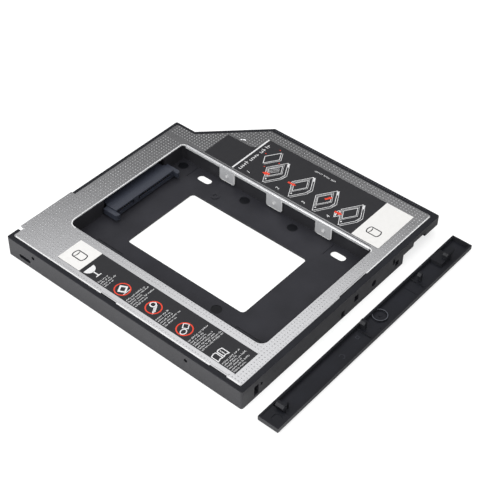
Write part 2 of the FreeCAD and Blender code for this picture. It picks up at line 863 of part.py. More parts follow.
def bezel_wedge():
    # The pad that fills the notch of the thin side, and the barb that stands on it
    x = right_x - shelf_notch_from_right
    half = shelf_notch_width / 2 - pad_play
    pad = block(x - half, x + half, bezel_y1 - pad_length, bezel_y1 - bezel_lip / 2, bezel_skin / 2,
                bezel_thickness - pad_drop)
    top = bezel_skin + hook_height
    root = bezel_skin / 2
    reach = hook + wedge_reach
    profile = [(0, root), (hook, root), (reach, top - wedge_nose), (reach, top - pad_drop), (wedge_nose, top),
               (0, top - wedge_nose)]
    return [pad, profile_along_y(profile, x, bezel_y1 - pad_length + wedge_width / 2, wedge_width)]


def bezel_shell():
    shell = block(left_x, right_x, bezel_y0, bezel_y1, 0, bezel_thickness)
    face = [edge for edge in shell.Edges if all(v.Point.z < 0.01 for v in edge.Vertexes)]
    shell = shell.makeFillet(bezel_round, face)
    y0 = bezel_y0 + bezel_lip
    y1 = bezel_y1 - bezel_lip
    x0 = left_x + bezel_lip
    step_end = left_x + bezel_step_length
    step_top = bezel_thickness - bezel_step_drop
    corner = bezel_lip / 3
    above = bezel_thickness + over
    hollow = rounded_block(step_end, right_x - bezel_lip, y0, y1, bezel_skin, above, corner)
    step = rounded_block(x0, step_end + bezel_lip, y0, y1, step_top, above, corner)
    dip = rounded_block(x0 + bezel_dip_inset / 2, step_end - bezel_dip_inset, y0 + bezel_dip_inset / 2,
                        y1 - 2 * bezel_dip_inset, step_top - bezel_dip_depth, above, bezel_dip_inset)
    return shell.cut(hollow.multiFuse([step, dip]))


def bezel_ribs():
    rib_top = bezel_skin + bezel_rib_height
    places = latch_places()
    middle_x = places[1][0] - (hook + hook_nose) / 2 - rib_from_hook
    step_rib_x = places[2][0] - (hook + hook_nose) / 2 - rib_from_hook
    y1 = bezel_y1 - bezel_lip / 2
    ribs = [block(x, x + bezel_rib, y1 - rib_length, y1, bezel_skin / 2, rib_top)
            for x in (middle_x, step_rib_x)]
    line_x = step_rib_x - line_from_rib
    ribs.append(block(line_x, line_x + bezel_rib / 2, y1 - rib_length, y1 - bezel_lip, bezel_skin / 2,
                      bezel_skin + bezel_rib_height / 3))
    return ribs


def front_bezel():
    ring_x = left_x + ring_from_left
    ring_y = facing(ring_z)
    ring = post(ring_x, ring_y, bezel_skin / 2, bezel_skin + ring_height, ring_outer)
    ring = ring.cut(post(ring_x, ring_y, bezel_skin, bezel_skin + ring_height + over, ring_inner))
    pip = post(ring_x, ring_y, bezel_skin / 2, bezel_skin + ring_height / 2, pip_radius)
    pin = post(left_x + pin_from_left, facing(pin_z), bezel_skin / 2, bezel_skin + pin_height,
               pin_hole_radius - pin_play)
    stub = post(left_x + stub_from_left, bezel_y0 + bezel_lip, bezel_skin / 2, bezel_thickness, stub_radius)
    inner = [bezel_hook(*place) for place in latch_places()]
    inner += bezel_wedge() + bezel_ribs() + [ring, pip, pin, stub]
    return bezel_shell().multiFuse(inner).removeSplitter()


def build():
    nodes = {"base_frame": base_frame(), "top_plate": top_plate()}
    nodes["drive_connector_body"] = drive_connector_body()
    nodes["circuit_board"] = circuit_board()
    nodes["bay_connector_body"] = bay_connector_body()
    signal, power = socket_ways()
    bay_signal, bay_power = bay_ways()
    for name, places, make in (("drive_signal_contact", signal, socket_contact),
                               ("drive_power_contact", power, socket_contact),
                               ("bay_signal_contact", bay_signal, bay_contact),
                               ("bay_power_contact", bay_power, bay_contact)):
        for i, x in enumerate(places):
            nodes["%s_%02d" % (name, i + 1)] = make(x)
    chip_y = depth - screw_y_inset
    for name, screw_x, inwards in zip(("left", "right"), screw_places(), (1, -1)):
        first = screw_x + inwards * chip_from_screw
        nodes["board_screw_" + name] = board_screw(screw_x)
        nodes["chip_capacitor_" + name] = chip(first, chip_y, cap_length, cap_width, cap_height)
        nodes["chip_resistor_" + name] = chip(first + inwards * chip_spacing, chip_y, resistor_length,
                                              resistor_width, resistor_height)
    nodes["care_label"] = care_label(0, care_label_length, height, height + label)
    nodes["care_label_panel"] = care_label(care_label_length - care_panel_length, care_label_length,
                                           height + label, height + label + print_layer)
    nodes["steps_label"] = steps_label()
    nodes["steps_label_panel"] = steps_panel()
    nodes["front_bezel"] = front_bezel()
    return nodes


os.makedirs("parts", exist_ok=True)
for node, shape in build().items():
    shape.exportStep("parts/%s.step" % node)
    print("%-26s solids %d  volume %.2f" % (node, len(shape.Solids), shape.Volume))
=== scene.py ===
# %% [markdown]
# # Dressing a slim drive caddy
#
# A caddy like this carries a 2.5 inch drive in the optical bay of a laptop. Its exact solids come
# packed as a fixed frame, in metres, with X across the bay, Y into it and Z up. This lesson gives
# them their finishes, adds the embossing and the print that are too fine for the solids, and sets
# up the camera, the floor and the lamps of a plain product picture.

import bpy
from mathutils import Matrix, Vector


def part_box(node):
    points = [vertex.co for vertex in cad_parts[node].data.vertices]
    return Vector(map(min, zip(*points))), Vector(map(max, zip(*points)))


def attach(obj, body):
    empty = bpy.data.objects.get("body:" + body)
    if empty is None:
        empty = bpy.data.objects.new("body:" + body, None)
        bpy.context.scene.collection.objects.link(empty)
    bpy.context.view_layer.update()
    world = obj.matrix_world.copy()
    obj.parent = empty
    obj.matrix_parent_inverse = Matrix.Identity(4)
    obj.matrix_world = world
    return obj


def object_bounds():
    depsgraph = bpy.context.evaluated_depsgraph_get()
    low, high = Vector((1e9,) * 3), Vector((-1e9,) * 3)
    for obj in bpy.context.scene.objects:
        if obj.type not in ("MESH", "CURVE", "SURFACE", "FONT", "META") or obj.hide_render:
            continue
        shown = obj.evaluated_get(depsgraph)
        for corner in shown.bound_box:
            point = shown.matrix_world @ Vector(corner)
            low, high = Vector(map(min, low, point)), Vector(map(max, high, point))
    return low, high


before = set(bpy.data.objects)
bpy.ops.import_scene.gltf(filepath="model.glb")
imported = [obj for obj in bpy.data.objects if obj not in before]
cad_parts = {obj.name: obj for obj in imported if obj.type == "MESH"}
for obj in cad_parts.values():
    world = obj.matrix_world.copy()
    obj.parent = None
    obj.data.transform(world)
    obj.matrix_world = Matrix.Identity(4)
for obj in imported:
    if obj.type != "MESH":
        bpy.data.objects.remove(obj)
cad_low, cad_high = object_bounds()
print("solids:", len(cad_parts), "nodes, size in mm:", [round(v * 1000, 1) for v in cad_high - cad_low])

# %% The rest of the tools
import math
import random

import bmesh
import bpy
from mathutils import Matrix, Vector

MM = 0.001      # new pieces are drawn in millimetres and scaled once, at the end

# %% [markdown]
# ## Camera
#
# The picture was taken from the front-left and above, with a long lens that keeps edges nearly
# parallel. The camera's turn, dip and roll were found by lining the solids' corners up with the
# picture. The three axes of the camera are worked out from those angles and put into its matrix.

# %% The camera
turn = math.radians(50.91)      # from +Y towards +X
dip = math.radians(43.43)       # downwards
roll = math.radians(1.52)
camera_place = Vector((-283.34, -180.07, 349.28)) * MM
ahead = Vector((math.sin(turn) * math.cos(dip), math.cos(turn) * math.cos(dip), -math.sin(dip)))
level = ahead.cross(Vector((0, 0, 1))).normalized()
upright = level.cross(ahead)
camera_x = level * math.cos(roll) + upright * math.sin(roll)
camera_y = upright * math.cos(roll) - level * math.sin(roll)

camera_data = bpy.data.cameras.new("camera")
camera_data.lens = 87.87
camera_data.sensor_width = 36
camera_data.clip_start = 0.01
camera = bpy.data.objects.new("camera", camera_data)
bpy.context.scene.collection.objects.link(camera)
camera_axes = Matrix((camera_x, camera_y, -ahead)).transposed().to_4x4()
camera.matrix_world = Matrix.Translation(camera_place) @ camera_axes
bpy.context.scene.camera = camera
bpy.context.scene.view_settings.view_transform = "Standard"     # colours render as written
print("camera at", [round(v, 3) for v in camera.matrix_world.translation])

# %% [markdown]
# ## Small helpers
#
# Colours are written as they look on a screen, in hex, and one function turns them to the linear
# values that a shader takes. One more function adds a node with its settings and its links, so
# each material below reads as a short list. The inputs are given by name, or as a list from the
# first on: a MapRange takes a value, the range it comes from and the range it goes to.

# %% Colours and nodes
def colour(code):
    """A screen colour such as 2a2b2f as linear red, green, blue and alpha."""
    parts = [int(code[i:i + 2], 16) / 255 for i in (0, 2, 4)]
    return [p / 12.92 if p <= 0.04045 else ((p + 0.055) / 1.055) ** 2.4 for p in parts] + [1]


def fill(tree, node, inputs):
    """Sets inputs. Each is a value, a colour's hex code, an output, or a node for its first output."""
    pairs = inputs.items() if isinstance(inputs, dict) else enumerate(inputs)
    for name, value in pairs:
        if isinstance(value, bpy.types.Node):
            value = next(output for output in value.outputs if output.enabled)
        if isinstance(value, bpy.types.NodeSocket):
            tree.links.new(value, node.inputs[name])
        else:
            node.inputs[name].default_value = colour(value) if isinstance(value, str) else value


def add(tree, kind, inputs=(), **settings):
    """Adds one node. Its kind is Blender's own name of it, without the ShaderNode at the start."""
    node = tree.nodes.new("ShaderNode" + kind)
    for name, value in settings.items():
        setattr(node, name, value)
    fill(tree, node, inputs)
    return node


def new_material(name):
    """A material with its node tree, its shader and the place of each point on the object."""
    made = bpy.data.materials.new(name)
    made.use_nodes = True
    tree = made.node_tree
    place = add(tree, "TexCoord").outputs["Object"]
    return made, tree, tree.nodes["Principled BSDF"], place


def per(size):
    """The scale of a noise whose grains are this many millimetres."""
    return 1 / (size * MM)


def wall_share(tree):
    """Nought on level faces, one on upright walls."""
    facing = add(tree, "NewGeometry").outputs["Normal"]
    level = add(tree, "SeparateXYZ", {"Vector": facing}).outputs["Z"]
    size = add(tree, "Math", [level], operation="ABSOLUTE")
    return add(tree, "MapRange", [size, 0.3, 0.85, 1, 0])


# %% [markdown]
# ## Moulded plastic
#
# The frame and the faceplate are moulded in black ABS. The mould was spark-eroded, which leaves a
# very fine, even grain that scatters light a little, so the plastic is matt and not glossy. Real
# grain is about 0.1 mm. It is drawn three times as coarse here, or it would not show at this size.
# The upright walls are given a lighter tone than the level tops: painted light, for the light that
# falls on them from the side. The lowest floor has a tone of its own, a little lighter than the
# tops. A broad, faint change of tone stands for the flow of the melt.

# %% Black plastics
def moulded_plastic(name, top, wall, low, grain, rough, shine=0.5):
    """Black moulded plastic. It has three tones: level tops, upright walls and the lowest floor."""
    made, tree, shader, place = new_material(name)
    walls = wall_share(tree)
    height = add(tree, "SeparateXYZ", {"Vector": place}).outputs["Z"]
    lows = add(tree, "MapRange", [height, 1.3 * MM, 1.8 * MM, 1, 0])
    flow = add(tree, "TexNoise", {"Vector": place, "Scale": per(14), "Detail": 2})
    grains = add(tree, "TexNoise", {"Vector": place, "Scale": per(grain), "Detail": 3})
    level_tone = add(tree, "Mix", {"Factor": lows, "A": top, "B": low}, data_type="RGBA")
    # upright walls take their own, lighter tone: painted light
    tone = add(tree, "Mix", {"Factor": walls, "A": level_tone, "B": wall}, data_type="RGBA")
    shade = add(tree, "MapRange", [flow, 0.3, 0.7, 0.85, 1.15])
    fill(tree, shader, {
        "Base Color": add(tree, "HueSaturation", {"Color": tone, "Value": shade}),
        "Roughness": add(tree, "MapRange", [grains, 0.3, 0.7, rough - 0.06, rough + 0.06]),
        "Specular IOR Level": add(tree, "MapRange", [walls, 0, 1, 0.22, shine]),
        "Normal": add(tree, "Bump", {"Height": grains, "Strength": 0.6, "Distance": 0.03 * MM}),
    })
    return made


frame_plastic = moulded_plastic("grained_black_abs", "1d1e23", "2d2d31", "2d2d32", 0.3, 0.5)
bezel_plastic = moulded_plastic("grained_black_abs_faceplate", "17181d", "26272b", "1a1b21", 0.34, 0.46, 0.45)
# ribs: lighter than the rim, a painted highlight
rib_highlight_plastic = moulded_plastic("black_abs_ribs_painted_highlight", "424348", "424348", "424348", 0.3, 0.45)
mark_plastic = moulded_plastic("raised_black_abs_marks", "34353b", "34353b", "2e2f36", 0.34, 0.4)
# a pale line on the faceplate ring's edge: painted highlight
ring_highlight_plastic = moulded_plastic("black_abs_ring_painted_highlight", "54565d", "54565d", "4a4c52", 0.3, 0.45)
# the pin marks: smooth, and darker with painted shade
pin_shade_plastic = moulded_plastic("smooth_black_abs_pin_disc_painted_shade", "16171b", "16171b", "121317", 0.3, 0.4)
print("plastics:", frame_plastic.name, bezel_plastic.name, rib_highlight_plastic.name)
print("plastics of small marks:", mark_plastic.name, ring_highlight_plastic.name, pin_shade_plastic.name)

# %% [markdown]
# ## Plate metal
#
# The cover plate is thin stainless steel with a rolled satin finish. It isn't polished: light is
# smeared over an angle of some degrees, and the surface is very slightly wavy between the embossed
# dots. Bends, tabs and cut edges were stretched or sheared by the tool, which makes them rougher.
# All upright faces are also given a pale, hardly metallic colour. That is partly the sheared steel
# and partly painted light, and it is why the tabs and the plate's edges shine as pale lines.

# %% Satin steel
def satin_steel(name, tone, rough):
    """Rolled sheet steel, wavy at the pitch of the embossing and mottled more finely."""
    made, tree, shader, place = new_material(name)
    walls = wall_share(tree)
    mottle = add(tree, "TexNoise", {"Vector": place, "Scale": per(0.45), "Detail": 4})
    wave = add(tree, "TexNoise", {"Vector": place, "Scale": per(3.2), "Detail": 1})
    satin = add(tree, "MapRange", [mottle, 0.3, 0.7, rough - 0.02, rough + 0.02])
    sheared = add(tree, "Math", [walls, 0.3], operation="MULTIPLY")
    fine = add(tree, "Bump", {"Height": mottle, "Strength": 0.15, "Distance": 0.01 * MM})
    both = add(tree, "Bump", {"Height": wave, "Strength": 0.15, "Distance": 0.02 * MM, "Normal": fine})
    fill(tree, shader, {
        # upright faces: pale and hardly metallic, partly sheared steel and partly painted light
        "Base Color": add(tree, "Mix", {"Factor": walls, "A": tone, "B": "cecfd1"}, data_type="RGBA"),
        "Metallic": add(tree, "MapRange", [walls, 0, 1, 1, 0.2]),
        "Roughness": add(tree, "Math", [satin, sheared]),
        "Normal": both,
    })
    return made


plate_metal = satin_steel("satin_rolled_steel", "c8c8ca", 0.17)
# the dots are the sheet's own steel made paler: a painted highlight, so they read as bright points
dot_highlight_metal = satin_steel("embossed_steel_painted_highlight", "dedee0", 0.205)
print("satin metals:", plate_metal.name, dot_highlight_metal.name)


# %% Steel for painted highlights and painted shade
def painted_light_steel(name, tone, other):
    """Matt steel of a given colour, with fine marks of the tool. It carries painted highlights and painted
    shade.
    """
    made, tree, shader, place = new_material(name)
    marks = add(tree, "TexNoise", {"Vector": place, "Scale": per(0.6), "Detail": 3})
    fill(tree, shader, {
        "Base Color": add(tree, "Mix", {"Factor": marks, "A": tone, "B": other}, data_type="RGBA"),
        "Metallic": 0.15,
        "Roughness": add(tree, "MapRange", [marks, 0.3, 0.7, 0.4, 0.6]),
    })
    return made


# pale steel for painted highlights on the edges and the tab tips, dark steel for painted shade in the groove
edge_highlight_metal = painted_light_steel("painted_edge_highlight_steel", "e6e6e7", "f2f2f2")
tip_highlight_metal = painted_light_steel("painted_tip_highlight_steel", "fafafa", "ffffff")
groove_shade_metal = painted_light_steel("shaded_steel_groove", "3c3c40", "47474b")
print("burnished metals:", edge_highlight_metal.name, tip_highlight_metal.name, groove_shade_metal.name)

# %% [markdown]
# ## Label film and ink
#
# The labels are black polypropylene film, printed by screen. Film has a soft sheen and a hardly
# visible ripple of the adhesive below it. Screen ink is opaque and matt. Both are much alike, so
# one function makes them with different colours and roughness.

# %% Films and inks
def printed_film(name, tone, other, ripple, rough):
    """Smooth film or ink with a faint ripple of so many millimetres."""
    made, tree, shader, place = new_material(name)
    waves = add(tree, "TexNoise", {"Vector": place, "Scale": per(ripple), "Detail": 2})
    fill(tree, shader, {
        "Base Color": add(tree, "Mix", {"Factor": waves, "A": tone, "B": other}, data_type="RGBA"),
        "Roughness": rough,
        "Specular IOR Level": 0.3,
        "Normal": add(tree, "Bump", {"Height": waves, "Strength": 0.3, "Distance": 0.02 * MM}),
    })
    return made


black_film = printed_film("black_polypropylene_film", "262629", "2a2a2d", 2.5, 0.5)
panel_ink = printed_film("white_panel_ink", "e1e0de", "e8e7e5", 2.0, 0.55)
white_ink = printed_film("white_screen_ink", "d8d8da", "e6e6e6", 0.6, 0.6)
red_ink = printed_film("red_screen_ink", "d9402c", "e64a34", 0.6, 0.6)
# a near black for the painted shadows in narrow gaps
gap_shadow_black = printed_film("shadowed_gap", "040405", "08080a", 0.6, 0.8)
black_ink = printed_film("black_screen_ink", "26262a", "303034", 0.6, 0.6)
print("films and inks:", black_film.name, panel_ink.name, white_ink.name, red_ink.name, black_ink.name)

# %% [markdown]
# ## Connectors and board
#
# Connector bodies are glass-filled nylon: black with a blue cast, and speckled where fibres come
# to the surface. Contacts are gold plated bronze. The board is glass and epoxy under black solder
# mask, whose weave shows faintly. Screws are zinc plated steel, and chip parts are fired ceramic.

# %% Connector plastic
connector_plastic, tree, shader, place = new_material("glass_filled_nylon")
fibres = add(tree, "TexNoise", {"Vector": place, "Scale": per(0.35), "Detail": 5, "Roughness": 0.7})
speckle = add(tree, "ValToRGB", {"Fac": fibres})
speckle_stops = ((0.4, "2c2f38"), (0.75, "444956"))
for stop, (position, tone) in zip(speckle.color_ramp.elements, speckle_stops):
    stop.position = position
    stop.color = colour(tone)
fill(tree, shader, {
    "Base Color": speckle,
    "Roughness": 0.4,
    "Normal": add(tree, "Bump", {"Height": fibres, "Strength": 0.4, "Distance": 0.02 * MM}),
})
print("connector:", connector_plastic.name)


# %% Gold plated contacts and plated screws
def plated_metal(name, tone, rough, brush):
    """Plated metal with fine marks of the rolling or turning, so many millimetres apart."""
    made, tree, shader, place = new_material(name)
    marks = add(tree, "TexNoise", {"Vector": place, "Scale": per(brush), "Detail": 3})
    fill(tree, shader, {
        "Base Color": tone,
        "Metallic": 1,
        "Roughness": add(tree, "MapRange", [marks, 0, 1, rough - 0.08, rough + 0.1]),
        "Normal": add(tree, "Bump", {"Height": marks, "Strength": 0.3, "Distance": 0.01 * MM}),
    })
    return made


contact_gold = plated_metal("gold_flashed_bronze", "c2b083", 0.32, 0.15)
screw_steel = plated_metal("zinc_plated_steel", "c9c9c6", 0.3, 0.2)
print("plated:", contact_gold.name, screw_steel.name)

# %% Board and chip parts
solder_mask, tree, shader, place = new_material("black_solder_mask_on_glass_epoxy")
cloth_scale = per(0.9) / 6.3        # bands 1.8 mm apart, as real threads are too fine to show
bands = {"Vector": place, "Scale": cloth_scale, "Distortion": 1.2}
warp = add(tree, "TexWave", bands).outputs["Fac"]
weft = add(tree, "TexWave", bands, bands_direction="Y").outputs["Fac"]
cloth = add(tree, "Math", [warp, weft], operation="MULTIPLY")
fill(tree, shader, {
    "Base Color": add(tree, "Mix", {"Factor": cloth, "A": "15171a", "B": "1d2023"}, data_type="RGBA"),
    "Roughness": 0.35,
    "Normal": add(tree, "Bump", {"Height": cloth, "Strength": 0.3, "Distance": 0.02 * MM}),
})
capacitor_ceramic = printed_film("fired_ceramic_capacitor", "a98a63", "b8986e", 0.3, 0.4)
resistor_ceramic = printed_film("fired_ceramic_resistor", "1c1c1e", "26262a", 0.3, 0.35)
print("board:", solder_mask.name, capacitor_ceramic.name, resistor_ceramic.name)

# %% Give every solid its finish
def dress(finish, *beginnings):
    """Puts a finish on the solids whose names start in one of these ways."""
    found = [node for name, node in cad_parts.items() if name.startswith(beginnings)]
    for node in found:
        for slot in node.material_slots:
            slot.material = finish
    return len(found)


dressed = dress(frame_plastic, "base_frame")
dressed += dress(plate_metal, "top_plate")
dressed += dress(connector_plastic, "drive_connector_body", "bay_connector_body")
dressed += dress(contact_gold, "drive_signal", "drive_power", "bay_signal", "bay_power")
dressed += dress(solder_mask, "circuit_board")
dressed += dress(screw_steel, "board_screw")
dressed += dress(capacitor_ceramic, "chip_capacitor")
dressed += dress(resistor_ceramic, "chip_resistor")
dressed += dress(black_film, "care_label", "steps_label")
dress(panel_ink, "care_label_panel", "steps_label_panel")
dressed += dress(bezel_plastic, "front_bezel")
print("dressed", dressed, "of", len(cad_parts), "solids")

# %% [markdown]
# ## Finishing a new piece
#
# Each new piece is drawn in millimetres in a bmesh, in the place where it sits. One function
# closes the work: it scales the mesh to metres, points the faces outwards, makes the object at
# the origin, and lets it ride with the caddy.

# %% From a bmesh to a piece
def finish_piece(drawn, name, finish, smooth=False):
    """Makes a piece of the caddy from a bmesh in millimetres."""
    bmesh.ops.scale(drawn, vec=(MM, MM, MM), verts=drawn.verts)
    bmesh.ops.recalc_face_normals(drawn, faces=drawn.faces)
    mesh = bpy.data.meshes.new(name)
    drawn.to_mesh(mesh)
    drawn.free()
    for face in mesh.polygons:
        face.use_smooth = smooth
    mesh.materials.append(finish)
    piece = bpy.data.objects.new(name, mesh)
    bpy.context.scene.collection.objects.link(piece)
    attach(piece, "root")
    print(name, "faces:", len(mesh.polygons))


def corners_of(node):
    """Lowest and highest corner of a solid, in millimetres."""
    low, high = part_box(node)
    return low / MM, high / MM


plate_low, plate_high = corners_of("top_plate")
care_low, care_high = corners_of("care_label")
steps_low, steps_high = corners_of("steps_label")
frame_high = corners_of("base_frame")[1]
print("plate from", [round(v, 2) for v in plate_low], "to", [round(v, 2) for v in plate_high])

# %% [markdown]
# ## Embossed dots
#
# A roller has pressed a square grid of small dots into the whole plate, which stiffens the thin
# sheet. A bump texture would look flat at a low angle, so each dot is a real one: a low cone with
# a small flat top, of few faces because it is repeated thousands of times. Rays cast down on the
# plate tell where there is sheet below the dot, so holes and edges stay bare. So does a strip
# along the fold, where the press has flattened the sheet.
# The dots are given a paler steel than the sheet, which is a painted highlight.

# %% Where the plate has room for a dot
dot_pitch = 1.51
dot_radius = 0.32
dot_top = 0.3           # the flat top's share of the radius
dot_height = 0.007
dots_x = -0.1           # a column and a row of the grid, from the picture
dots_y = 115.0
bare_edge = 0.5         # sheet that stays smooth round each dot
fold_strip = 2.2        # smooth sheet between the fold and the wide label
ray_start = 60          # millimetres up, above everything
sheet_z = care_low.z    # the labels lie on the sheet


def reaches(node, x, y):
    """Height in millimetres of a solid's top at a place, or None where there is none."""
    hit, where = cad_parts[node].ray_cast(Vector((x, y, ray_start)) * MM, Vector((0, 0, -1)))[:2]
    return where.z / MM if hit else None


def bare_sheet(x, y):
    """True where the flat top of the plate is open all round a place, and not along the fold."""
    if steps_low.x - fold_strip < x < steps_low.x and y > steps_low.y - fold_strip:
        return False
    for step_x, step_y in ((0, 0), (bare_edge, 0), (-bare_edge, 0), (0, bare_edge), (0, -bare_edge)):
        top = reaches("top_plate", x + step_x, y + step_y)
        if top is None or abs(top - sheet_z) > 0.01:
            return False
        if any(reaches(label, x + step_x, y + step_y) for label in ("care_label", "steps_label")):
            return False
    return True


print("the sheet's top is at", round(sheet_z, 2), "mm")

# %% The grid of dots
dome = bmesh.new()
bmesh.ops.create_cone(dome, cap_ends=True, segments=8, radius1=dot_radius, radius2=dot_radius * dot_top,
                      depth=dot_height, matrix=Matrix.Translation((0, 0, sheet_z + dot_height / 2)))
dome_mesh = bpy.data.meshes.new("one_dot")
dome.to_mesh(dome_mesh)
dome.free()

first_x = plate_low.x + (dots_x - plate_low.x) % dot_pitch
first_y = plate_low.y + (dots_y - plate_low.y) % dot_pitch
columns = int((plate_high.x - first_x) / dot_pitch) + 1
rows = int((plate_high.y - first_y) / dot_pitch) + 1
dots = bmesh.new()
placed = 0
for column in range(columns):
    for row in range(rows):
        x = first_x + column * dot_pitch
        y = first_y + row * dot_pitch
        if not bare_sheet(x, y):
            continue
        dome_mesh.transform(Matrix.Translation((x, y, 0)))
        dots.from_mesh(dome_mesh)
        dome_mesh.transform(Matrix.Translation((-x, -y, 0)))
        placed += 1
finish_piece(dots, "plate_dots", dot_highlight_metal, smooth=True)
print("dots on the plate:", placed)

# %% [markdown]
# ## Thin flat shapes
#
# Burnished edges and printed ink are layers of a hundredth of a millimetre. Each is drawn flat,
# as polygons, and is raised in one go. A closed line comes from a polygon whose edge is inset by
# the width of the line and whose middle is taken out.

# %% Flat shapes
def polygon(drawn, corners):
    """A flat face with these corners."""
    return drawn.faces.new([drawn.verts.new((x, y, 0)) for x, y in corners])


def outlined(drawn, corners, line):
    """The outline of a polygon, as a band of this width."""
    face = polygon(drawn, corners)
    drawn.normal_update()
    bmesh.ops.inset_individual(drawn, faces=[face], thickness=line, use_even_offset=True)
    bmesh.ops.delete(drawn, geom=[face], context="FACES")


def stroke(drawn, start, end, line):
    """A straight line of this width."""
    start = Vector(start)
    end = Vector(end)
    side = (end - start).normalized().orthogonal() * line / 2
    polygon(drawn, [start - side, end - side, end + side, start + side])


def oval(centre, across, along, start=0, sweep=360, sides=32):
    """Points on an ellipse, or on part of one, from an angle in degrees."""
    steps = range(sides if sweep == 360 else sides + 1)
    angles = [math.radians(start + sweep * i / sides) for i in steps]
    return [(centre[0] + across * math.cos(a), centre[1] + along * math.sin(a)) for a in angles]


def raise_print(drawn, bottom, thickness):
    """Turns the flat shapes into a thin layer on the film."""
    bmesh.ops.translate(drawn, vec=(0, 0, bottom), verts=drawn.verts)
    made = bmesh.ops.extrude_face_region(drawn, geom=drawn.faces[:])
    raised = [v for v in made["geom"] if isinstance(v, bmesh.types.BMVert)]
    bmesh.ops.translate(drawn, vec=(0, 0, thickness), verts=raised)


def bar(drawn, x0, x1, y0, y1):
    """A rectangle along the axes."""
    polygon(drawn, [(x0, y0), (x1, y0), (x1, y1), (x0, y1)])


def bend(drawn, centre, radius, width, start, sweep):
    """A bar bent round a corner, in straight parts."""
    parts = 8
    inner = oval(centre, radius, radius, start, sweep, parts)
    outer = oval(centre, radius + width, radius + width, start, sweep, parts)
    for i in range(parts):
        polygon(drawn, [inner[i], outer[i], outer[i + 1], inner[i + 1]])


# %% [markdown]
# ## Painted highlights and shade on the edges
#
# The plate's cut edges catch the light as thin white lines wherever they face the camera's side.
# They are too thin for the solids, so each highlight is painted as a flat pale strip on the sheet.
# A flat dark strip beside the fold is painted shade, for a groove there. In the notches a thinned
# lip of the sheet reaches over the frame's noses, and a narrow black strip on each nose is the
# painted shadow of the gap to the rim.

# %% Painted highlight strips along the plate's edges
edge_width = 0.42
left_width = 0.5
edge_height = 0.012
front_corner = 0.8                  # no painted highlight on the sheet's front corners
rear_corner = 3.2                   # or on its cut rear corner
side_notches = ((9.4, 17.8), (65.9, 74.3))
front_notch = (-2.25, 15.65)
notch_depth = 1.0
hole_right_x = 28.05                # the pocket opening's edges, and the radii of its corners
hole_front_y = 8.9
hole_rear_y = 112.9
hole_left_x = -41.7
hole_left_corner = 3.5
hole_right_corner = 1.6

edges = bmesh.new()
notch_ends = [y for notch in side_notches for y in notch]
left_ends = [plate_low.y + front_corner, *notch_ends, plate_high.y - rear_corner]
for y0, y1 in zip(left_ends[::2], left_ends[1::2]):
    bar(edges, plate_low.x, plate_low.x + left_width, y0, y1)
bar(edges, front_notch[1], plate_high.x - front_corner, plate_low.y, plate_low.y + edge_width)
rear_left = (hole_left_x + hole_left_corner, hole_rear_y - hole_left_corner)
rear_right = (hole_right_x - hole_right_corner, hole_rear_y - hole_right_corner)
front_right = (rear_right[0], hole_front_y + hole_right_corner)
bar(edges, rear_left[0], rear_right[0], hole_rear_y, hole_rear_y + edge_width)
bend(edges, rear_left, hole_left_corner, edge_width, start=90, sweep=100)
bend(edges, rear_right, hole_right_corner, edge_width, start=0, sweep=90)
bend(edges, front_right, hole_right_corner, edge_width, start=-80, sweep=80)
raise_print(edges, sheet_z, edge_height)
finish_piece(edges, "painted_edge_highlights", edge_highlight_metal)

# %% Painted shade of the groove, and painted shadows of the narrow gaps
groove_x = 28.95
groove_width = 0.45
gap_width = 0.4
nose_top = 9.4

# a flat dark strip on the sheet: painted shade of a groove beside the fold
groove = bmesh.new()
bar(groove, groove_x, groove_x + groove_width, front_right[1], rear_right[1])
raise_print(groove, sheet_z, edge_height)
finish_piece(groove, "fold_groove_painted_shade", groove_shade_metal)

# black strips on the noses: painted shadow of the gaps to the rim
gaps = bmesh.new()
for y0, y1 in side_notches:
    bar(gaps, plate_low.x, plate_low.x + gap_width, y0, y1)
bar(gaps, front_notch[0], front_notch[1], plate_low.y, plate_low.y + gap_width)
raise_print(gaps, nose_top, edge_height)
finish_piece(gaps, "nose_gap_shadows", gap_shadow_black)

lips = bmesh.new()
for y0, y1 in side_notches:
    bar(lips, plate_low.x + gap_width, plate_low.x + notch_depth, y0, y1)
bar(lips, front_notch[0], front_notch[1], plate_low.y + gap_width, plate_low.y + notch_depth)
raise_print(lips, nose_top, sheet_z - nose_top)
finish_piece(lips, "notch_lips", plate_metal)

# %% [markdown]
# ## Painted highlights on the tabs
#
# A dimple is pressed into each tab. Its tip catches the light, and so do the tab's lower edge and
# its front edge. These highlights are painted, as thin pale patches on the tab's face.

# %% Painted highlights on the tips and the tab edges
tab_places = (33.8, 60.4, 87.0)
tab_face_x = 28.05
tab_half = 4.3
tab_low_z = 1.8
tab_high_z = 8.6
tab_corner = 1.2        # the lines stop short of the tab's lower corners
tip_x = 27.7
tip_z = 5.0
tip_half = 0.6
bright_line = 0.35


def patch(drawn, x, y0, y1, z0, z1):
    """A thin upright patch on a face that looks to the left."""
    made = bmesh.ops.create_cube(drawn, size=1)
    middle = (x - edge_height / 2, (y0 + y1) / 2, (z0 + z1) / 2)
    bmesh.ops.scale(drawn, vec=(edge_height, y1 - y0, z1 - z0), verts=made["verts"])
    bmesh.ops.translate(drawn, vec=middle, verts=made["verts"])


tips = bmesh.new()
for y in tab_places:
    front = y - tab_half
    rear = y + tab_half
    patch(tips, tip_x, y - tip_half, y + tip_half, tip_z - tip_half, tip_z + tip_half)
    patch(tips, tab_face_x, front, front + bright_line, tab_low_z + tab_corner, tab_high_z)
    patch(tips, tab_face_x, front + tab_corner, rear - tab_corner, tab_low_z, tab_low_z + bright_line)
finish_piece(tips, "tab_highlights", tip_highlight_metal)

# %% [markdown]
# ## Fine ribs on the thin side's rim
#
# Along the thin side the rim carries a row of fine ribs across it, for grip. One rib is a small
# bar with its two long top edges bevelled, and it is repeated along the rim.
# The ribs are given a lighter tone than the rim, which is a painted highlight.

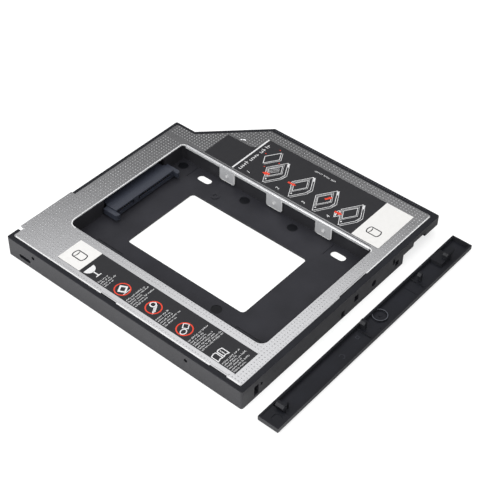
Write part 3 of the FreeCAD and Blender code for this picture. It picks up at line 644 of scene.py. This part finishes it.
# %% The rim's ribs
rib_pitch = 1.2
rib_width = 0.45
rib_height = 0.1
rib_bevel = 0.05
rib_reach = 1.35        # from near the outer edge inwards
rib_inset = 0.35
rim_top = 9.4
first_rib_y = 9.5
last_rib_y = 88.0


def long_and_upper(edge):
    """True for a rib's edge that lies on its upper side and runs across the rim."""
    first, last = edge.verts
    return first.co.z > 0 and last.co.z > 0 and abs(first.co.y - last.co.y) < 0.01


one_rib = bmesh.new()
bmesh.ops.create_cube(one_rib, size=1)
bmesh.ops.scale(one_rib, vec=(rib_reach, rib_width, rib_height), verts=one_rib.verts)
upper_edges = [edge for edge in one_rib.edges if long_and_upper(edge)]
bmesh.ops.bevel(one_rib, geom=upper_edges, offset=rib_bevel, segments=1, profile=0.5, affect="EDGES",
                material=-1)
bmesh.ops.translate(one_rib, vec=(frame_high.x - rib_inset - rib_reach / 2, 0, rim_top + rib_height / 2),
                    verts=one_rib.verts)
rib_mesh = bpy.data.meshes.new("one_rib")
one_rib.to_mesh(rib_mesh)
one_rib.free()

ribs = bmesh.new()
rib_count = int((last_rib_y - first_rib_y) / rib_pitch) + 1
for i in range(rib_count):
    y = first_rib_y + i * rib_pitch
    rib_mesh.transform(Matrix.Translation((0, y, 0)))
    ribs.from_mesh(rib_mesh)
    rib_mesh.transform(Matrix.Translation((0, -y, 0)))
finish_piece(ribs, "rim_ribs", rib_highlight_plastic)
print("ribs on the rim:", rib_count)

# %% [markdown]
# ## Faint marks of the mould
#
# The mould has left two shallow marks inside the faceplate: an open ring and a small square. They
# stand a few hundredths of a millimetre proud, so they are drawn as thin lines. The round ring in
# the middle has a pale line on its edge, which is a painted highlight. In the pocket, the ejector
# pins left smooth discs. They are drawn darker than the grained floor, partly for their smooth
# finish and partly as painted shade.

# %% Mould marks inside the faceplate
mark_height = 0.04
open_ring = (-19.8, -12.5)
small_square = ((-8.7, -11.8), (-7.1, -11.8), (-7.1, -10.2), (-8.7, -10.2))
bare_floor = (-30, -12.5)       # a place beside both marks

marks = bmesh.new()
bend(marks, open_ring, radius=1.0, width=0.3, start=-130, sweep=260)
outlined(marks, small_square, line=0.25)
raise_print(marks, reaches("front_bezel", *bare_floor), mark_height)
finish_piece(marks, "mould_marks", mark_plastic)

# %% A painted highlight on the ring's edge
ring_x = 7.0
ring_y = -10.9
ring_outer = 3.25
ring_line = 0.28

ring_edge_highlight = bmesh.new()
outlined(ring_edge_highlight, oval((ring_x, ring_y), ring_outer, ring_outer, sides=48), ring_line)
raise_print(ring_edge_highlight, reaches("front_bezel", ring_x + ring_outer - ring_line / 2, ring_y), edge_height)
finish_piece(ring_edge_highlight, "ring_edge_highlight", ring_highlight_plastic)

# %% Marks of the ejector pins, darker with painted shade
pin_places = ((-32.5, 40.0), (24.7, 47.4), (24.7, 73.9), (24.7, 109.9))
pin_radius = 2.3

pins = bmesh.new()
for place in pin_places:
    polygon(pins, oval(place, pin_radius, pin_radius, sides=40))
raise_print(pins, reaches("base_frame", *pin_places[0]), edge_height)
finish_piece(pins, "pin_marks", pin_shade_plastic)
print("pin marks at", [round(reaches("base_frame", *place), 2) for place in pin_places])

# %% [markdown]
# ## Print on the labels
#
# Screen ink lies on the film as a layer that can be felt, so the print is drawn as thin flat
# shapes and raised by a few hundredths of a millimetre. The labels' words are drawn as rows of
# plain marks, as on a layout before its text is set.

# %% Heights of the film and the panels
ink = 0.02
film_top = care_high.z
panel_top = corners_of("care_label_panel")[1].z
print("film top", round(film_top, 3), "panel top", round(panel_top, 3))


# %% Rows of marks in the place of words
def text_row(drawn, x0, x1, y, height, dice):
    """Small marks in groups like words: each is an upright and a short bar, in shares of the height."""
    x = x0
    thin = height * 0.16
    while x < x1 - height:
        for i in range(dice.randint(2, 7)):
            wide = height * dice.uniform(0.4, 0.6)
            tall = height * dice.choice((0.65, 0.65, 0.65, 1.0))
            level = y + height * dice.choice((0, 0.22, 0.45))
            if x + wide > x1:
                return
            bar(drawn, x, x + thin, y, y + tall)
            bar(drawn, x + thin, x + wide, level, level + thin)
            x += wide + height * 0.14
        x += height * 0.5


# %% Paragraphs on the care label
dice = random.Random(4)
care_white = bmesh.new()
text_x = care_low.x + 0.4
text_height = 0.8


def paragraph(first_y, rows, widest):
    """Rows below each other, ragged on the right. A long paragraph is set a little tighter."""
    spacing = 1.2 if rows < 6 else 1.15
    for row in range(rows):
        reach = widest * dice.choice((0.6, 0.85, 1.0))
        text_row(care_white, text_x, text_x + reach, first_y - row * spacing, text_height, dice)


paragraph(first_y=78.7, rows=4, widest=9)
paragraph(first_y=63.4, rows=5, widest=12.2)
paragraph(first_y=47.8, rows=5, widest=12.2)
paragraph(first_y=31.1, rows=7, widest=12.2)
paragraph(first_y=14.2, rows=6, widest=11.8)
print("care label faces so far:", len(care_white.faces))

# %% The glass and the book
def drawn_at(points, x, y):
    """Points of a drawing, moved to its place on the label."""
    return [(x + px, y + py) for px, py in points]


glass_x = care_low.x + 3.35
glass_y = 84.6
bowl = oval((0, 2.9), 2.8, 2.9, 180, 180, 16)
foot = [(-1.5, -3.1), (1.5, -3.1), (1.2, -2.6), (-1.2, -2.6)]
polygon(care_white, drawn_at(bowl, glass_x, glass_y))
stroke(care_white, (glass_x, glass_y - 2.6), (glass_x, glass_y + 0.2), line=0.55)
polygon(care_white, drawn_at(foot, glass_x, glass_y))

book_x = care_low.x + 3.3
book_y = 15.9
for side in (-1, 1):
    inner = side * 0.15
    crest = side * 1.4
    outer = side * 3.2
    page = [(inner, 0.2), (crest, 0.6), (outer, 0.0), (outer, 4.0), (crest, 4.5), (inner, 4.1)]
    outlined(care_white, drawn_at(page[::side], book_x, book_y), line=0.42)
letter_x = book_x + 1.55
stroke(care_white, (letter_x, book_y + 1.3), (letter_x, book_y + 2.8), line=0.4)
polygon(care_white, drawn_at(oval((1.55, 3.35), 0.28, 0.28, sides=12), book_x, book_y))
print("glass and book drawn")

# %% White shapes for the three rings
ring_places = [(-54.8, 69.2), (-54.0, 53.25), (-54.5, 36.7)]


def turned(points, angle):
    """Points of a drawing, turned by so many degrees."""
    c = math.cos(math.radians(angle))
    s = math.sin(math.radians(angle))
    return [(c * x - s * y, s * x + c * y) for x, y in points]


def rectangle(width, length):
    """A rectangle's corners round its middle."""
    x = width / 2
    y = length / 2
    return [(-x, -y), (x, -y), (x, y), (-x, y)]


x, y = ring_places[0]
outlined(care_white, drawn_at(turned(rectangle(3.6, 3.4), 28), x + 0.2, y), line=0.75)
stroke(care_white, (x - 2.2, y - 2.3), (x + 2.2, y - 2.3), line=0.3)

x, y = ring_places[1]
outlined(care_white, oval((x + 1.1, y + 1.3), 1.5, 1.5, sides=24), line=0.55)
for shift in (0, 0.8, 1.6):
    stroke(care_white, (x - 3.0 + shift, y - 2.0), (x + 0.2 + shift, y - 0.1), line=0.32)

x, y = ring_places[2]
outlined(care_white, drawn_at(turned(rectangle(2.8, 2.6), 30), x + 1.5, y + 0.7), line=0.4)
outlined(care_white, oval((x - 1.3, y - 0.6), 1.6, 1.3, sides=24), line=0.4)
raise_print(care_white, film_top, ink)
finish_piece(care_white, "care_print_white", white_ink)

# %% Red rings
red_radius = 3.5
red_line = 0.52

care_red = bmesh.new()
for place in ring_places:
    outlined(care_red, oval(place, red_radius, red_radius, sides=48), red_line)
raise_print(care_red, film_top + ink, ink / 2)
finish_piece(care_red, "care_print_red", red_ink)

# %% [markdown]
# ## Step drawings
#
# Four small line drawings on the wide label show how the drive goes in. Each shows the caddy from
# a corner: a square with one corner cut off, its thickness as a second line, and the pocket in
# it. All four are one function at four places. Two vectors carry a point of the square to the
# label, so the drawing is written as fractions of the square's sides.

# %% One step drawing
iso_side = Vector((8.85, 4.9))      # from the left corner to the far one
iso_front = Vector((8.6, -5.4))     # from the far corner to the right one
iso_drop = Vector((0, -0.9))        # the caddy's thickness


def caddy_points(corner, shares):
    """Points of the drawn caddy: shares of its two sides, and of its thickness where given."""
    return [Vector(corner) + iso_side * u + iso_front * v + iso_drop * (down[0] if down else 0)
            for u, v, *down in shares]


def thickness(drawn, corner, plan, down, line):
    """Strokes below some corners of a plan, for the lower edge of the caddy or the drive."""
    lower = caddy_points(corner, [(u, v, down) for u, v in plan])
    for start, end in zip(lower, lower[1:]):
        stroke(drawn, start, end, line)


def draw_caddy(drawn, corner, line):
    """The caddy seen from a corner, with its pocket."""
    plan = [(0, 0), (0, 0.78), (0.14, 1), (1, 1), (1, 0)]
    pocket = [(0.34, 0.12), (0.34, 0.78), (0.86, 0.78), (0.86, 0.12)]
    fold = [(0.28, 0.07), (0.28, 0.84), (0.92, 0.84), (0.92, 0.07)]
    dark_side = [(0.72, 1, 1), (0.97, 1, 1), (0.97, 1, 0.1), (0.72, 1, 0.1)]
    dot = caddy_points(corner, [(0.18, 0.12)])[0]
    outlined(drawn, caddy_points(corner, plan), line)
    thickness(drawn, corner, plan[:4], 1, line * 0.8)
    outlined(drawn, caddy_points(corner, pocket), line)
    outlined(drawn, caddy_points(corner, fold), line * 0.5)
    polygon(drawn, caddy_points(corner, dark_side))
    polygon(drawn, oval(dot, 0.42, 0.36, sides=12))
    for i in range(4):
        part = (i + 1) / 5
        u = 0.14 * part
        v = 0.78 + 0.22 * part
        upper, lower = caddy_points(corner, [(u, v, 0.15), (u, v, 0.85)])
        stroke(drawn, upper, lower, line * 0.6)


# %% The four steps
step_corners = [(31.2, 69.7), (31.0, 55.4), (30.7, 42.2), (30.7, 28.6)]
steps_white = bmesh.new()
for corner in step_corners:
    draw_caddy(steps_white, corner, line=0.26)

drive = [(0.0, 0.0), (0.0, 0.78), (0.5, 0.78), (0.5, 0.0)]
drive_corner = (41.0, 77.6)
outlined(steps_white, caddy_points(drive_corner, drive), line=0.3)
thickness(steps_white, drive_corner, drive[:3], 0.8, line=0.2)
for i in range(4):
    share = 0.56 + i * 0.09
    start, end = caddy_points(step_corners[0], [(share, 0.14), (share - 0.06, 0.66)])
    stroke(steps_white, start, end, line=0.16)

plug = [(33.4, 32.9), (36.6, 34.7), (38.7, 33.3), (35.5, 31.5)]
outlined(steps_white, plug, line=0.28)
stroke(steps_white, (34.6, 32.9), (37.4, 33.9), line=0.5)
print("step drawings:", len(step_corners))

# %% Rule, title row, numerals and side row
rule_y = 85.4
rule_width = 0.75
title_height = 2.0
title_end = 53.4
title_y = 82.3
side_height = 1.1
side_length = 11.2
side_place = (52.5, 46.0, 0)
numeral_height = 2.6
numeral_x = 31.6
numeral_y = (77.6, 61.4, 47.3, 34.2)

bar(steps_white, steps_low.x, steps_high.x, rule_y, rule_y + rule_width)
dice = random.Random(9)
text_row(steps_white, numeral_x, title_end, title_y, title_height, dice)


def numeral(drawn, text, x, y, tall):
    """A plain numeral as flat faces, from Blender's own font."""
    curve = bpy.data.curves.new("numeral", "FONT")
    curve.body = text
    curve.size = tall
    curve.shear = 0.2
    letter = bpy.data.objects.new("numeral", curve)
    bpy.context.scene.collection.objects.link(letter)
    bpy.context.view_layer.update()
    flat = bpy.data.meshes.new_from_object(letter)
    flat.transform(Matrix.Translation((x, y, 0)))
    drawn.from_mesh(flat)
    bpy.data.objects.remove(letter)


for i, y in enumerate(numeral_y):
    numeral(steps_white, str(i + 1), numeral_x, y, numeral_height)
bmesh.ops.remove_doubles(steps_white, verts=steps_white.verts, dist=0.0001)

side_row = bmesh.new()
text_row(side_row, 0, side_length, 0, side_height, dice)
quarter_turn = Matrix.Rotation(math.radians(90), 3, "Z")
bmesh.ops.rotate(side_row, cent=(0, 0, 0), matrix=quarter_turn, verts=side_row.verts)
bmesh.ops.translate(side_row, vec=side_place, verts=side_row.verts)
side_mesh = bpy.data.meshes.new("side_row")
side_row.to_mesh(side_mesh)
side_row.free()
steps_white.from_mesh(side_mesh)
raise_print(steps_white, film_top, ink)
finish_piece(steps_white, "steps_print_white", white_ink)

# %% Red arrows
def arrow(drawn, tail, tip, wide):
    """A plain arrow: a shaft and a head."""
    tail = Vector(tail)
    tip = Vector(tip)
    way = (tip - tail).normalized()
    side = way.orthogonal()
    neck = tip - way * wide
    shaft = side * wide * 0.32
    barb = side * wide * 0.62
    polygon(drawn, [tail - shaft, neck - shaft, neck - barb, tip, neck + barb, neck + shaft, tail + shaft])


steps_red = bmesh.new()
arrow(steps_red, tail=(37.2, 70.6), tip=(36.2, 73.9), wide=2.1)
arrow(steps_red, tail=(38.5, 61.3), tip=(38.8, 57.2), wide=1.6)
arrow(steps_red, tail=(40.0, 42.5), tip=(43.2, 40.6), wide=1.6)
arrow(steps_red, tail=(36.6, 34.7), tip=(36.9, 30.9), wide=1.7)

red_dots = ((47.2, 80.9), (53.0, 77.4), (39.8, 75.6), (45.7, 72.1))
dot_size = 0.3
for place in red_dots:
    polygon(steps_red, oval(place, dot_size, dot_size, sides=10))
raise_print(steps_red, film_top + ink, ink / 2)
finish_piece(steps_red, "steps_print_red", red_ink)

# %% [markdown]
# ## Drive symbol on the white panels
#
# A cylinder drawn in outline is the common sign for a drive. It stands on both white panels. Its
# wall is an outline in black ink. The near rim of its top is a crescent, between the near halves
# of a deeper and a shallower oval.

# %% The cylinder sign
def drive_sign(drawn, x, y):
    """A cylinder in outline, with its top towards the rear."""
    wide = 2.2
    deep = 1.15
    rear = (x, y + 2.15)
    front = (x, y - 2.15)
    outlined(drawn, oval(rear, wide, deep, 0, 180, 24) + oval(front, wide, deep, 180, 180, 24), line=0.5)
    deeper = oval(rear, wide - 0.3, deep + 0.02, 180, 180, 24)
    shallower = oval(rear, wide - 0.3, deep - 0.46, 360, -180, 24)
    polygon(drawn, deeper + shallower)


signs = bmesh.new()
drive_sign(signs, -52.4, 95.4)
drive_sign(signs, 37.2, 14.8)
raise_print(signs, panel_top, ink / 2)
finish_piece(signs, "panel_print", black_ink)

# %% [markdown]
# ## Floor, backdrop and lamps
#
# A product picture is taken on white. The floor and the world are white for the rays that the
# camera sends, straight or through clear things, and stay at a plain level as light, so no colour
# is washed out. In mirror images the floor is duller, except at the left. The studio is pale at
# the horizon, dark above it and bright overhead, like a big soft panel whose edge stands at about
# 43 degrees, and which dims towards the zenith in mirror images. The satin plate mirrors that
# edge, so it is bright at the front-left and falls off to grey at the rear and the right. One
# lamp adds the shadows and two fill in the walls.
# In mirror images the floor's brighter left and duller rest are painted light and painted shade, for a floor
# lit from the left and shaded in front of the caddy.

# %% White floor
floor_size = 3              # metres
floor_gap = 0.0002          # below the lowest point, so the faces don't touch

floor_bm = bmesh.new()
bmesh.ops.create_grid(floor_bm, x_segments=1, y_segments=1, size=floor_size)
floor_mesh = bpy.data.meshes.new("floor")
floor_bm.to_mesh(floor_mesh)
floor_bm.free()
floor = bpy.data.objects.new("floor", floor_mesh)
floor.location.z = cad_low.z - floor_gap
bpy.context.scene.collection.objects.link(floor)
print("floor at", round(floor.location.z * 1000, 2), "mm")

# %% The floor's paper
camera_tone = 0.48          # what the camera sees: this tone with its shadows, and a glow
camera_glow = 0.66
light_tone = 0.8            # what light and the left part of a mirror image see
mirror_shade_tone = 0.5           # painted shade: what the rest of a mirror image sees
mirror_painted_light = 0.25          # painted light, added at the left of a mirror image
left_full = -0.068          # metres: the left part is full here
left_end = -0.04            # and has ended here

floor_paper = bpy.data.materials.new("white_backdrop_paper")
floor_paper.use_nodes = True
tree = floor_paper.node_tree
tree.nodes.clear()
rays = add(tree, "LightPath").outputs
mirrored = rays["Is Glossy Ray"]
shown = add(tree, "Math", [rays["Is Camera Ray"], rays["Is Transmission Ray"]], operation="MAXIMUM")
spot = add(tree, "NewGeometry").outputs["Position"]
across = add(tree, "SeparateXYZ", {"Vector": spot}).outputs["X"]
# painted light at the left of the floor, painted shade elsewhere, both only in mirror images
left_painted_light = add(tree, "MapRange", [across, left_full, left_end, 1, 0])

mirror_mix = add(tree, "MapRange", [left_painted_light, 0, 1, mirror_shade_tone, light_tone])
unseen = add(tree, "Mix", {"Factor": mirrored, "A": light_tone, "B": mirror_mix}, data_type="FLOAT")
tone = add(tree, "Mix", {"Factor": shown, "A": unseen, "B": camera_tone}, data_type="FLOAT")
paper = add(tree, "BsdfDiffuse", {"Color": tone})

white = add(tree, "Math", [shown, camera_glow], operation="MULTIPLY")
left_painted_glow = add(tree, "Math", [left_painted_light, mirror_painted_light], operation="MULTIPLY")
mirror_lift = add(tree, "Math", [mirrored, left_painted_glow], operation="MULTIPLY")
lift = add(tree, "Math", [white, mirror_lift])
glow = add(tree, "Emission", {"Strength": lift})
both = add(tree, "AddShader", [paper, glow])
add(tree, "OutputMaterial", {"Surface": both})
floor_mesh.materials.append(floor_paper)
print("paper nodes:", len(tree.nodes))

# %% World: white backdrop, and a dark studio with a bright soft panel overhead
panel_middle = (-0.035, 0.043, 1)   # the way to the panel's middle, nearly straight up
panel_edge = (0.652, 0.71)          # sines of the heights between which the panel starts
dark_level = 0.15
panel_level = 1.64
zenith_edge = (0.86, 0.97)
zenith_share = 0.42
horizon_edge = (0.04, 0.2)
horizon_level = 0.75

world = bpy.data.worlds.new("studio")
bpy.context.scene.world = world
world.use_nodes = True
tree = world.node_tree
tree.nodes.clear()
rays = add(tree, "LightPath").outputs
shown = add(tree, "Math", [rays["Is Camera Ray"], rays["Is Transmission Ray"]], operation="MAXIMUM")
direction = add(tree, "TexCoord").outputs["Generated"]
height = add(tree, "SeparateXYZ", {"Vector": direction}).outputs["Z"]
slant = add(tree, "VectorMath", [direction, panel_middle], operation="DOT_PRODUCT")
panel = add(tree, "MapRange", [slant, *panel_edge, dark_level, panel_level])
zenith = add(tree, "MapRange", [slant, *zenith_edge, 1, zenith_share])
dimming = add(tree, "Mix", {"Factor": rays["Is Glossy Ray"], "A": 1.0, "B": zenith}, data_type="FLOAT")
dimmed = add(tree, "Math", [panel, dimming], operation="MULTIPLY")
horizon = add(tree, "MapRange", [height, *horizon_edge, horizon_level, 0])
studio = add(tree, "Math", [dimmed, horizon])
level = add(tree, "Mix", {"Factor": shown, "A": studio, "B": 1.0}, data_type="FLOAT")
sky = add(tree, "Background", {"Strength": level})
add(tree, "OutputWorld", {"Surface": sky})
print("world nodes:", len(tree.nodes))

# %% Lamps
lamps_aim = Vector((0, 0.05, 0))        # near the caddy's middle


def soft_lamp(name, turn, height, distance, size, power):
    """A square lamp that faces the caddy from a compass turn and a height, both in degrees."""
    lamp = bpy.data.lights.new(name, "AREA")
    lamp.energy = power
    lamp.size = size
    stand = bpy.data.objects.new(name, lamp)
    bpy.context.scene.collection.objects.link(stand)
    a = math.radians(turn)
    e = math.radians(height)
    away = Vector((math.sin(a) * math.cos(e), math.cos(a) * math.cos(e), math.sin(e)))
    stand.location = lamps_aim + away * distance
    stand.rotation_euler = away.to_track_quat("Z", "Y").to_euler()


soft_lamp("top_softbox", turn=30, height=84, distance=0.9, size=0.4, power=0.5)
soft_lamp("left_softbox", turn=-75, height=35, distance=1.0, size=0.6, power=4.8)
soft_lamp("front_softbox", turn=200, height=40, distance=1.1, size=0.6, power=2.6)
